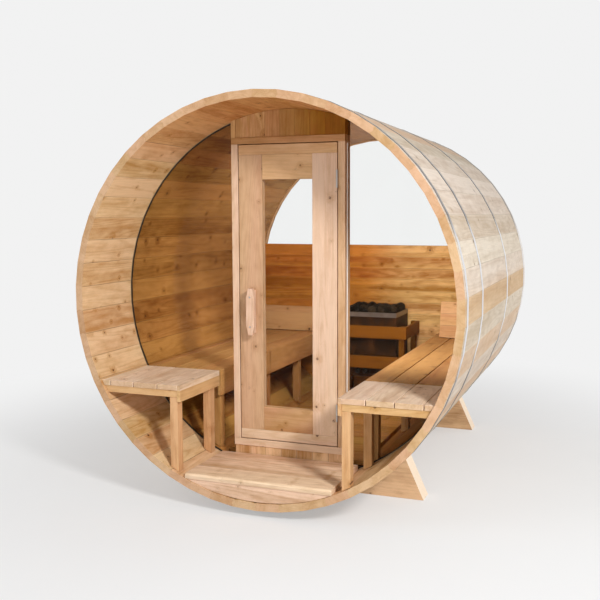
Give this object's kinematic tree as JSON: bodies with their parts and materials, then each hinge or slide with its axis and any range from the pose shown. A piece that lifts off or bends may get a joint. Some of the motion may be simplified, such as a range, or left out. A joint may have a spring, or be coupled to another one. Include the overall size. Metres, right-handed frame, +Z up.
{
  "type": "barrel sauna",
  "caption": "Barrel sauna on two saddle cradles: stave shell with metal hoops, open porch with benches, glazed front with a hinged door, cabin with benches and a stone heater.",
  "frame": {"origin": "on the ground, below the middle of the barrel's length and width", "axes": "+X to the right as seen from the porch, +Y from the porch to the rear wall, +Z up"},
  "size_m": [2.1334, 2.438, 2.1758],
  "materials": {
    "cedar": "planed, oiled",
    "cabin_cedar": "planed",
    "door_cedar": "planed, clear",
    "glass": "clear, toughened",
    "hoop_metal": "mill finish strap",
    "hinge_metal": "satin",
    "seal": "matt",
    "heater_steel": "satin, heat-darkened",
    "sauna_stone": "rough",
    "knob": "matt black"
  },
  "bodies": {
    "building": {"shell_crown_left": "cedar", "shell_crown_right": "cedar", "shell_shoulder_left": "cedar", "shell_shoulder_right": "cedar", "shell_side_left": "cedar", "shell_side_right": "cedar", "shell_haunch_left": "cedar", "shell_haunch_right": "cedar", "shell_floor_left": "cedar", "shell_floor_right": "cedar", "cradle_front": "cedar", "cradle_rear": "cedar", "porch_deck": "cedar", "porch_fascia": "cedar", "porch_bench_left": "cedar", "porch_bench_right": "cedar", "header_panel": "cedar", "sill_panel": "cedar", "door_jamb_left": "cedar", "door_jamb_right": "cedar", "door_head": "cedar", "door_sill": "cedar", "floor_bearers": "cedar", "cabin_floor": "cabin_cedar", "rear_wall": "cabin_cedar", "cabin_bench_left": "cabin_cedar", "cabin_bench_right": "cabin_cedar", "backrest_left": "cabin_cedar", "backrest_right": "cabin_cedar", "heater_guard": "cabin_cedar", "rear_window_bead": "cabin_cedar", "front_glass_left": "glass", "front_glass_right": "glass", "rear_window": "glass", "hoop_front": "hoop_metal", "hoop_porch": "hoop_metal", "hoop_middle": "hoop_metal", "hoop_rear": "hoop_metal", "hinge_frame_side": "hinge_metal", "front_glass_seal": "seal", "heater_body": "heater_steel", "heater_stones": "sauna_stone", "heater_knobs": "knob"},
    "door": {"door_stile_left": "door_cedar", "door_stile_right": "door_cedar", "door_top_rail": "door_cedar", "door_bottom_rail": "door_cedar", "door_upper_panel": "door_cedar", "door_lower_panel": "door_cedar", "door_glass": "glass", "door_handle": "door_cedar", "hinge_door_side": "hinge_metal"}
  },
  "joints": [
    {"name": "door_hinge", "type": "hinge", "parent": "building", "child": "door", "pos_m": [0.2925, -0.7845, 1.1165], "axis": [0, 0, 1], "range_deg": [0, 100]}
  ]
}
